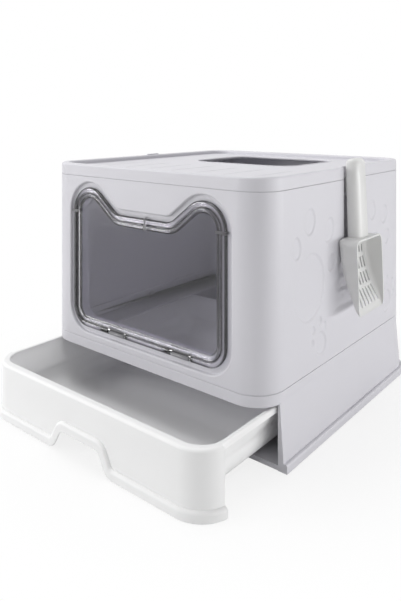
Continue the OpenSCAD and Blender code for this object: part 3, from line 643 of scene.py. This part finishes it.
def drawer_front():
    """Rings of the drawer's front, from the foot's lip up and over its top."""
    # As (height above the foot along the wall, inset from the outer face)
    lip = [(0.0, -2.6), (0.15, -3.3), (0.6, -3.85), (1.2, -LIP_OUT), (5.0, -LIP_OUT)]
    lip += [(g, -y) for g, y in rounded(LIP_H - LIP_FOLD, LIP_OUT - LIP_FOLD, LIP_FOLD, 90, 8, 8)]
    lip += [(LIP_H + 0.3, 0.35), (LIP_H + 0.9, 0.1), (LIP_H + 1.8, 0.0), (LIP_H + 6.0, 0.0)]
    # As (height, inset)
    r = CAP_FOLD
    wall = [(RIM_Z - 24, 0.0), (RIM_Z - r, 0.0)]
    wall += [(z, r - o) for o, z in rounded(0, RIM_Z - r, r, 0, 90, 8)[1:]]
    r = CAP_INNER_FOLD
    wall += [(RIM_Z, 7.0), (RIM_Z, RIM_W - r)]
    wall += [(z, RIM_W - o) for o, z in rounded(r, RIM_Z - r, r, 90, 180, 5)[1:]]

    def corner(side, share, inset, z):
        """A point of a front corner, whose turn ends where the front's depth does"""
        r = CORNER_R - inset
        end = math.asin((CORNER_R - CAP_D) / r)
        t = share * (math.pi / 2 - end) - math.pi / 2
        return (side * (SIDE - CORNER_R + r * math.cos(t)),
                DRAWER_FRONT + CORNER_R + r * math.sin(t), z)

    def ring(front, inset, z):
        """The points of the front between those of its two corners"""
        left = [corner(-1, 1 - i / CORNER_STEPS, inset, z) for i in range(CORNER_STEPS)]
        right = [corner(1, (i + 1) / CORNER_STEPS, inset, z) for i in range(CORNER_STEPS)]
        return left + front + right

    rings = [ring([(x + g * ox, DRAWER_FRONT + inset, z + g * oz) for x, z, ox, oz in notch_line()],
                  inset, LIFT + g) for g, inset in lip]
    front_x = [x for x, y, z in rings[-1][CORNER_STEPS:-CORNER_STEPS]]
    rings += [ring([(x, DRAWER_FRONT + inset, z) for x in front_x], inset, z) for z, inset in wall]
    return rings, front_x


# A column of the tub: side -1 or 1, in its front or back half, angle in degrees or None on the
# front's straight, whether the front's sheet covers its rim, and its x on that straight
Column = namedtuple("Column", "side in_front angle covered x")


def tub_columns(front_x, corner_r):
    """Columns right round the tub, from the left end of its front."""
    end = math.degrees(math.asin((CORNER_R - CAP_D) / corner_r))
    covered = [(i + 1) / CORNER_STEPS * (90 - end) for i in range(CORNER_STEPS)]
    steps, back_steps, hair = 4, 16, 0.001
    columns = [Column(1, True, None, True, x) for x in front_x]
    columns += [Column(1, True, a - 90, True, None) for a in covered]
    columns += [Column(1, True, a, False, None)
                for a in [hair - end] + [end * i / steps - end for i in range(1, steps + 1)]]
    for side, start in ((1, 0), (-1, 90)):
        columns += [Column(side, False, start + 90 * i / back_steps, False, None)
                    for i in range(back_steps + 1)]
    columns += [Column(-1, True, 180 + a, False, None)
                for a in [end * i / steps for i in range(steps)] + [end - hair]]
    columns += [Column(-1, True, 270 - a, True, None) for a in reversed(covered)]
    return columns


def drawer_tub(front_x):
    """Rings of the tub, from under the outside of its rim over it and down to the floor's edge."""
    tray_side, tray_back = SIDE - TUB_INSET, BACK - TUB_INSET - PULL
    inner_x, inner_y0 = SIDE - RIM_W, DRAWER_FRONT + RIM_W
    inner_y1 = tray_back - (RIM_W - TUB_INSET)
    inner_r = CORNER_R - RIM_W
    columns = tub_columns(front_x, inner_r)

    def inner(column, inset, r):
        """A column's point on the outline inside the rim, or further in"""
        half, y0, y1 = inner_x - inset, inner_y0 + inset, inner_y1 - inset
        if column.angle is None:
            return max(r - half, min(half - r, column.x)), y0
        t = math.radians(column.angle)
        cy = y0 + r if column.in_front else y1 - r
        return column.side * (half - r) + r * math.cos(t), cy + r * math.sin(t)

    def outer(column):
        """A column's point on the rim's outside"""
        if column.in_front:
            return column.side * tray_side, inner(column, 0, inner_r)[1]
        t = math.radians(column.angle)
        return (column.side * (tray_side - TUB_BACK_R) + TUB_BACK_R * math.cos(t),
                tray_back - TUB_BACK_R + TUB_BACK_R * math.sin(t))

    def rim_point(column, from_outside, distance, z):
        a, b = outer(column), inner(column, 0, inner_r)
        if column.covered:
            return (*b, RIM_Z - CAP_INNER_FOLD)
        if not from_outside:
            a, b = b, a
        share = distance / math.hypot(b[0] - a[0], b[1] - a[1])
        return a[0] + (b[0] - a[0]) * share, a[1] + (b[1] - a[1]) * share, z

    # The rim, as (from its outside, distance from there, height)
    r = RIM_FOLD
    rim = [(True, 0.0, RIM_Z - 8), (True, 0.0, RIM_Z - r)]
    rim += [(True, r - o, z) for o, z in rounded(0, RIM_Z - r, r, 0, 90, 6)[1:]]
    r = RIM_INNER_FOLD
    rim += [(False, o, z) for o, z in rounded(r, RIM_Z - r, r, 90, 180, 4)]
    rings = [[rim_point(column, *place_on_rim) for column in columns] for place_on_rim in rim]

    # The walls run straight to the fillet round the floor and touch it
    wall_top = RIM_Z - 1
    run, drop = TUB_DRAFT + TUB_FILLET, wall_top - TUB_FLOOR - TUB_FILLET
    slope = math.atan2(drop, run) + math.asin(TUB_FILLET / math.hypot(run, drop))
    for inset, z in ((0.05, RIM_Z - 4.0), (3.0, wall_top - 3.0 * math.tan(slope))):
        rings.append([(*inner(column, inset, inner_r - inset * 0.35), z) for column in columns])
    touch, steps = math.pi / 2 + slope, 10
    for i in range(steps + 1):
        t = touch + (1.5 * math.pi - touch) * i / steps
        inset, z = run + TUB_FILLET * math.cos(t), TUB_FLOOR + TUB_FILLET + TUB_FILLET * math.sin(t)
        r = min(inner_r - inset * 0.35, max(0.5, run - inset))
        rings.append([(*inner(column, inset, r), z) for column in columns])
    return rings


def drawer():
    """The drawer as one moulded sheet: lip and notch, front, rim, tub and floor."""
    front, front_x = drawer_front()
    tub = drawer_tub(front_x)
    verts = [point for ring in front + tub for point in ring]
    start, n = len(front) * len(front[0]), len(tub[0])
    faces = quads(len(front), len(front[0]), closed=False) + quads(len(tub), n, start)
    faces.append(tuple(range(len(verts) - n, len(verts))))
    mesh = new_mesh("drawer_body", verts, faces)
    with edited(mesh) as bm:
        bmesh.ops.remove_doubles(bm, verts=bm.verts, dist=4e-5)
        bmesh.ops.dissolve_degenerate(bm, edges=bm.edges, dist=1e-6)
        bmesh.ops.recalc_face_normals(bm, faces=bm.faces)
        floor = max(bm.faces, key=lambda f: f.calc_area())
        if floor.normal.z < 0:
            bmesh.ops.reverse_faces(bm, faces=bm.faces)
    obj = place("drawer_body", mesh, "drawer", WHITE, 50, replaces=("drawer_tray",))
    solid_sheet(obj, TUB_T)


def drawer_webs():
    """Webs that close the hollow between the ends of the front and the tub."""
    # As (x, z): down the inside of the front's end, and up along the tub's wall
    outline = [(209.6, 77.0), (209.6, 3.0), (205.0, 3.0), (198.0, 12.0), (192.5, 26.0),
               (191.0, 40.0), (201.5, 77.0)]
    end, gap, thickness = DRAWER_FRONT + CAP_D, 0.2, 2.4
    for sign, name in ((1, "drawer_web_right"), (-1, "drawer_web_left")):
        verts = [(sign * x, y, z) for y in (end - gap, end - gap - thickness) for x, z in outline]
        mesh = new_mesh(name, verts, prism(len(outline)))
        with edited(mesh) as bm:
            bmesh.ops.recalc_face_normals(bm, faces=bm.faces)
        obj = place(name, mesh, "drawer", WHITE)
        round_edges(obj, 0.6, 2)


# ---------------------------------------------------------------- scoop
# Bowl: how far its back leans out at the tip, outer radius of the heel, fillet along the side
# walls, and radius of its corners as seen from the front
BOWL_SWEEP, HEEL_R, BOWL_FILLET, BOWL_CORNER_R = 32.6, 4.5, 9.5, 14.0
# Sifting slots: how many to a row, their spacing and half their width
SLOTS, SLOT_PITCH, SLOT_R = 7, 9.9, 2.3
SLOT_SHARES = (-1.0, -0.76, -0.38, 0.0, 0.38, 0.76, 1.0)
# Mouth: how much of its height belongs to the heel, how far its edge leans out, and how soon
MOUTH_AT_HEEL, MOUTH_LEAN, MOUTH_LEAN_RATE = 14.0, 3.1, 1.35
# The floor's share of the full wall at the tip, and the height over which it gets there
TIP_SHARE, TIP_THINS = 0.12, 16.0


def bowl_half_width(z):
    """Half the bowl's width at a height: it is rounded at the heel and at the tip."""
    r, past = BOWL_CORNER_R, 2.0
    over = max(0.0, z - (HEEL_Z + past - r), (TIP_Z - past + r) - z)
    return BOWL_W / 2 - r + math.sqrt(max(0.0, r ** 2 - over ** 2))


def bowl_back(z):
    """The outer skin's x at a height."""
    return BOWL_X + BOWL_SWEEP * (max(0.0, HEEL_Z - z) / BOWL_L) ** 2.2


def bowl_path():
    """The bowl's middle line from the mouth's edge over the heel and down the ramp.

    Also the heel's first and last point, and the ends of the slots: +/- their radius by point.
    """
    path = [(BOWL_X + d, HEEL_Z) for d in (BOWL_D - 0.2, 25, 19, 12)]
    heel = [len(path)]
    path += [(BOWL_X + HEEL_R - o, z) for o, z in rounded(0, HEEL_Z - HEEL_R, HEEL_R, 90, 0, 6)]
    heel.append(len(path) - 1)
    path += [(bowl_back(HEEL_Z - d), HEEL_Z - d) for d in (8.5, 11, 13, 14.5, 16)]
    row_ends = {}
    for top, low in SIFT_ROWS:
        z1, z0 = HEEL_Z - BOWL_L * top - SLOT_R, HEEL_Z - BOWL_L * low + SLOT_R
        row_ends[len(path)], row_ends[len(path) + 2] = SLOT_R, -SLOT_R
        path += [(bowl_back(z), z) for z in (z1, (z1 + z0) / 2, z0)]
    path += [(bowl_back(TIP_Z + d), TIP_Z + d) for d in (5, 3.5, 2, 1, 0.2)]
    return path, heel, row_ends


def bowl():
    """The scoop's bowl: heel, curved floor with four rows of seven slots, side walls and mouth."""
    path, heel, row_ends = bowl_path()
    run = [0.0]
    for (x0, z0), (x1, z1) in zip(path, path[1:]):
        run.append(run[-1] + math.hypot(x1 - x0, z1 - z0))

    # The floor between the fillets, as (y, distance from the middle of its slot or None)
    flat = BOWL_W / 2 - BOWL_FILLET
    middle = [(-flat, None)]
    middle += [((i - (SLOTS - 1) / 2) * SLOT_PITCH + share * SLOT_R, share * SLOT_R)
               for i in range(SLOTS) for share in SLOT_SHARES]
    middle += [(flat, None)]

    def mouth(along):
        """The point of the mouth's edge that belongs to a place along the path: (x, z)"""
        if along < BOWL_D:
            z = HEEL_Z - MOUTH_AT_HEEL * along / BOWL_D
        else:
            z = HEEL_Z - MOUTH_AT_HEEL - ((BOWL_L - MOUTH_AT_HEEL) * (along - BOWL_D)
                                          / (run[-1] - BOWL_D))
        lean = MOUTH_LEAN * min(1.0, MOUTH_LEAN_RATE * (HEEL_Z - z) / BOWL_L)
        return BOWL_X + BOWL_D + lean, z

    verts = []
    for k, (x, z) in enumerate(path):
        ahead, behind = path[min(k + 1, len(path) - 1)], path[max(k - 1, 0)]
        tx, tz = ahead[0] - behind[0], ahead[1] - behind[1]
        nx, nz = -tz / math.hypot(tx, tz), tx / math.hypot(tx, tz)
        mouth_x, mouth_z = mouth(run[k])
        # The fillet shrinks at the heel's own turn and where the wall is low
        from_heel = max(0.0, run[heel[0]] - run[k], run[k] - run[heel[1]])
        size = min(BOWL_FILLET, HEEL_R - 0.1 + 0.5 * from_heel,
                   max(0.1, 0.6 * math.hypot(mouth_x - x, mouth_z - z)))
        side = []
        for degrees in range(15, 91, 15):
            t = math.radians(degrees)
            px, pz = x + nx * size * (1 - math.cos(t)), z + nz * size * (1 - math.cos(t))
            side.append((px, bowl_half_width(pz) - size * (1 - math.sin(t)), pz))
        ex, ez = x + nx * size, z + nz * size
        for share in (0.2, 0.4, 0.6, 0.8, 1.0):
            pz = ez + (mouth_z - ez) * share
            side.append((ex + (mouth_x - ex) * share, bowl_half_width(pz), pz))
        row = [(px, -py, pz) for px, py, pz in reversed(side)]
        reach = bowl_half_width(z) - size
        for y, d in middle:
            shift = 0.0
            if d is not None and k in row_ends:
                shift = math.copysign(math.sqrt(max(0.0, SLOT_R ** 2 - d * d)), row_ends[k])
            row.append((bowl_back(z + shift) if shift else x, y * reach / flat, z + shift))
        row += side
        verts += [(px, BOWL_Y + py, pz) for px, py, pz in row]

    width, first, per_slot = len(row), len(side) + 1, len(SLOT_SHARES)
    slotted = {k + i for k, end in row_ends.items() if end > 0 for i in (0, 1)}

    def in_slot(k, i):
        c = i - first
        return k in slotted and 0 <= c < SLOTS * per_slot and c % per_slot != per_slot - 1

    faces = quads(len(path), width, closed=False, skip=in_slot)
    mesh = new_mesh("scoop_bowl", verts, faces)
    with edited(mesh) as bm:
        bmesh.ops.remove_doubles(bm, verts=bm.verts, dist=2e-5)
        bmesh.ops.recalc_face_normals(bm, faces=bm.faces)
        if min(bm.faces, key=lambda f: f.calc_center_median().x).normal.x > 0:
            bmesh.ops.reverse_faces(bm, faces=bm.faces)
    obj = place("scoop_bowl", mesh, "scoop", SCOOP, 50)
    # The floor thins out towards its tip
    group = obj.vertex_groups.new(name="wall")
    for v in mesh.vertices:
        share = min(1.0, max(TIP_SHARE, (v.co.z / MM - TIP_Z) / TIP_THINS))
        group.add([v.index], share, "REPLACE")
    solid_sheet(obj, SCOOP_T, even=False)
    obj.modifiers["thickness"].vertex_group = "wall"


def grip():
    """The scoop's full, rounded handle, which leans in towards its top."""
    width, thickness, taper, lean = 41.0, 19.0, 1.8, 3.4
    front_r, back_r = 12.0, 2.6
    top, foot, dome, steps = 385.5, HEEL_Z - 1.2, 8.5, 8
    heights = [foot, HEEL_Z + 2, HEEL_Z + 30, HEEL_Z + 60, top - 25]
    heights += [top - dome + dome * math.sin(math.radians(a))
                for a in (0, 15, 30, 45, 58, 70, 80, 87, 90)]
    verts = []
    for z in heights:
        up = (z - HEEL_Z) / (top - HEEL_Z)
        cut = dome - math.sqrt(max(0.0, dome ** 2 - max(0.0, z - top + dome) ** 2))
        w, t = width - 2 * cut, thickness - taper * up - 1.65 * cut
        back = BOWL_X + lean * (1 - up) + 0.1 + 0.75 * cut
        far, near = max(0.4, min(front_r, t * 0.72)), max(0.3, min(back_r, t * 0.15))
        for r, cx, cy, a in ((far, t - far, w / 2 - far, 0), (near, near, w / 2 - near, 90),
                             (near, near, near - w / 2, 180), (far, t - far, far - w / 2, 270)):
            verts += [(x, y, z) for x, y in rounded(back + cx, BOWL_Y + cy, r, a, a + 90, steps)]
    n = 4 * (steps + 1)
    faces = quads(len(heights), n)
    faces.append(tuple(reversed(range(n))))
    faces.append(tuple(range(len(verts) - n, len(verts))))
    new_object("scoop_grip", verts, faces, "scoop", SCOOP, 60, replaces=("scoop",))


def hook():
    """The scoop's hook: a bridge over the hood's lug and the leg that hangs behind it."""
    leg, bridge, half = (206.4, 209.0, 334.4), (219.0, 349.4, 355.4), 8.0
    outline = [(leg[0], leg[2]), (leg[1], leg[2]), (leg[1], bridge[1]), (bridge[0], bridge[1]),
               (bridge[0], bridge[2]), (leg[0], bridge[2])]
    verts = [(x, BOWL_Y + y, z) for y in (half, -half) for x, z in outline]
    obj = new_object("scoop_hook", verts, prism(len(outline)), "scoop", SCOOP)
    round_edges(obj, 0.7, 3)


# ---------------------------------------------------------------- pieces
dress("base_housing", "base_body", "base", SHELL, soften_base)
dress("hood_shell", "hood_body", "hood", SHELL, soften_hood, drop_hood_sides, 4)
side_skin(1)
side_skin(-1)
dress("lid_cover", "lid_body", "lid", SHELL, soften_lid)
groove_floor()
drawer()
drawer_webs()
bowl()
grip()
hook()
dress("exit_trim", "exit_edging", "lid", TRIM, soften_edging)
door()
barrels()
for kept_node, finish in (("rubber_feet", RUBBER), ("hood_clips", CLIPS), ("hinge_pins", STEEL),
                          ("door_catches", FROSTED)):
    kept_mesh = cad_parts[kept_node].data
    kept_mesh.materials.clear()
    kept_mesh.materials.append(finish)


# ---------------------------------------------------------------- floor, light and camera
LIGHTS = {  # name: place, target, width, height, watts
    "left": ((-2.0, -2.15, 1.1), (0, 0, 0.2), 1.2, 1.2, 42),
    "right_back": ((2.3, 1.6, 0.17), (0, 0, 0.15), 1.3, 0.34, 18.0),
    "right": ((2.8, 0.5, 0.17), (0, 0, 0.15), 1.3, 0.34, 12.6),
    "right_front": ((2.7, -0.6, 0.17), (0, 0, 0.15), 1.3, 0.34, 6),
    "above": ((-0.3, -0.2, 3.0), (0, 0, 0.2), 1.6, 1.6, 42),
}
WORLD_STRENGTH = 0.32
FLOOR_REACH, FLOOR_DROP, FLOOR_GREY = 40.0, 0.0003, 0.86
# Distances in metres over which the floor fades to white, and the share of white at their start
FADE_FROM, FADE_TO, FADE_START = 0.28, 0.5, 0.82


def floor_material():
    """White that shows the object's shadow near it and fades to plain white further out."""
    m, tree, shader = new_material("floor_white")
    tree.nodes.remove(shader)
    links = tree.links
    diffuse = shader_node(tree, "BsdfDiffuse", {"Color": (FLOOR_GREY, FLOOR_GREY, FLOOR_GREY, 1)})
    glow = shader_node(tree, "Emission", {"Strength": 1.0})
    place_at = shader_node(tree, "TexCoord")
    distance = shader_node(tree, "VectorMath")
    distance.operation = "LENGTH"
    fade = shader_node(tree, "MapRange", {"From Min": FADE_FROM, "From Max": FADE_TO,
                                          "To Min": FADE_START, "To Max": 1.0})
    fade.interpolation_type = "SMOOTHSTEP"
    path = shader_node(tree, "LightPath")
    seen = shader_node(tree, "Math")
    seen.operation = "MULTIPLY"
    mix = shader_node(tree, "MixShader")
    links.new(place_at.outputs["Object"], distance.inputs[0])
    links.new(distance.outputs["Value"], fade.inputs["Value"])
    links.new(path.outputs["Is Camera Ray"], seen.inputs[0])
    links.new(fade.outputs["Result"], seen.inputs[1])
    links.new(seen.outputs[0], mix.inputs["Fac"])
    links.new(diffuse.outputs[0], mix.inputs[1])
    links.new(glow.outputs[0], mix.inputs[2])
    links.new(mix.outputs[0], tree.nodes["Material Output"].inputs["Surface"])
    return m


def stage():
    """The pale floor, a hair under the object's feet."""
    r = FLOOR_REACH
    mesh = bpy.data.meshes.new("floor")
    mesh.from_pydata([(-r, -r, 0), (r, -r, 0), (r, r, 0), (-r, r, 0)], [], [(0, 1, 2, 3)])
    mesh.materials.append(floor_material())
    floor = bpy.data.objects.new("floor", mesh)
    floor.location.z = -FLOOR_DROP
    bpy.context.scene.collection.objects.link(floor)


def studio():
    """A dim even world that is white to the camera, in gloss and through clear plastic."""
    world = bpy.data.worlds.new("studio")
    bpy.context.scene.world = world
    world.use_nodes = True
    tree = world.node_tree
    links = tree.links
    back = tree.nodes["Background"]
    back.inputs["Color"].default_value = (1, 1, 1, 1)
    path = shader_node(tree, "LightPath")
    bright = shader_node(tree, "MapRange", {"To Min": WORLD_STRENGTH, "To Max": 1.0})
    seen = shader_node(tree, "Math")
    seen.operation = "MAXIMUM"
    either = shader_node(tree, "Math")
    either.operation = "MAXIMUM"
    links.new(path.outputs["Is Camera Ray"], seen.inputs[0])
    links.new(path.outputs["Is Glossy Ray"], seen.inputs[1])
    links.new(seen.outputs[0], either.inputs[0])
    links.new(path.outputs["Is Transmission Ray"], either.inputs[1])
    links.new(either.outputs[0], bright.inputs["Value"])
    links.new(bright.outputs["Result"], back.inputs["Strength"])


def lamps():
    """Soft rectangular lamps."""
    for name, (at, target, width, height, watts) in LIGHTS.items():
        data = bpy.data.lights.new(name, "AREA")
        data.energy = watts
        data.shape = "RECTANGLE"
        data.size = width
        data.size_y = height
        obj = bpy.data.objects.new(name, data)
        obj.location = at
        obj.rotation_euler = (Vector(target) - Vector(at)).to_track_quat("-Z", "Y").to_euler()
        bpy.context.scene.collection.objects.link(obj)


def camera():
    """The photograph's camera: level, with its frame shifted down."""
    photo_h, focal_px, horizon_px, sensor_h = 601.0, 598.0, 115.4, 36.0
    data = bpy.data.cameras.new("camera")
    cam = bpy.data.objects.new("camera", data)
    bpy.context.scene.collection.objects.link(cam)
    cam.location = (0.6136, -0.8374, 0.450)
    cam.rotation_euler = (math.radians(90), 0, math.radians(39.46))
    data.sensor_fit = "VERTICAL"
    data.sensor_height = sensor_h
    data.sensor_width = 24.5
    data.lens = focal_px / photo_h * sensor_h
    data.shift_y = -(photo_h / 2 - horizon_px) / photo_h
    bpy.context.scene.camera = cam


stage()
studio()
lamps()
camera()
bpy.context.scene.view_settings.view_transform = "Standard"
